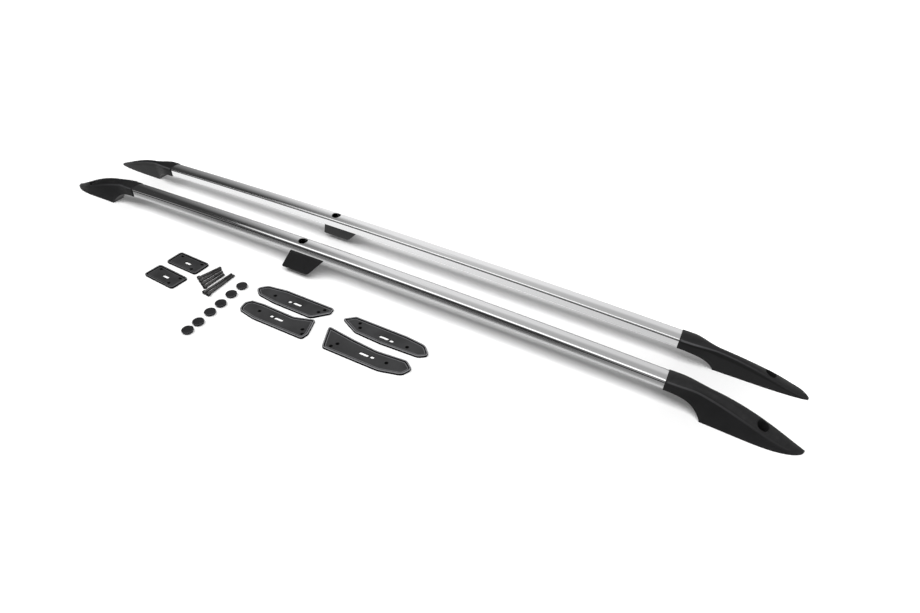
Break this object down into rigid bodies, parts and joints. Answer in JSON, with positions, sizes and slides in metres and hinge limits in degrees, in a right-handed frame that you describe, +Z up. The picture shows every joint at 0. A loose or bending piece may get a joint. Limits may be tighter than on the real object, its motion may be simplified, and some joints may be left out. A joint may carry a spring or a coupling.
{
  "type": "roof side rail pair",
  "caption": "Pair of bowed aluminium roof side rails on black moulded end and centre feet, with pads, caps and mounting screws laid beside them.",
  "frame": {"origin": "on the floor, at the middle of the set's outline seen from above", "axes": "+X along the rails towards the longer end feet, +Y from the near rail to the far rail, +Z up"},
  "size_m": [1.9004, 0.4945, 0.0752],
  "materials": {
    "rail": "satin anodised extrusion with fine lengthwise drawing lines",
    "foot": "fine-grained black moulded plastic",
    "pad": "moulded black rubber, matt, paler on the rims",
    "cap": "smooth black moulded plastic",
    "screw": "black oxide steel, slightly oiled"
  },
  "bodies": {
    "root": {"near_rail": "rail", "far_rail": "rail", "near_left_foot": "foot", "near_right_foot": "foot", "far_left_foot": "foot", "far_right_foot": "foot", "near_centre_foot": "foot", "far_centre_foot": "foot", "rail_end_screws": "screw", "centre_foot_screws": "screw", "centre_pad_a": "pad", "centre_pad_b": "pad", "foot_pad_left_a": "pad", "foot_pad_left_b": "pad", "foot_pad_right_a": "pad", "foot_pad_right_b": "pad", "cap_1": "cap", "cap_2": "cap", "cap_3": "cap", "cap_4": "cap", "cap_5": "cap", "cap_6": "cap", "short_screws": "screw", "long_screws": "screw"}
  },
  "joints": []
}
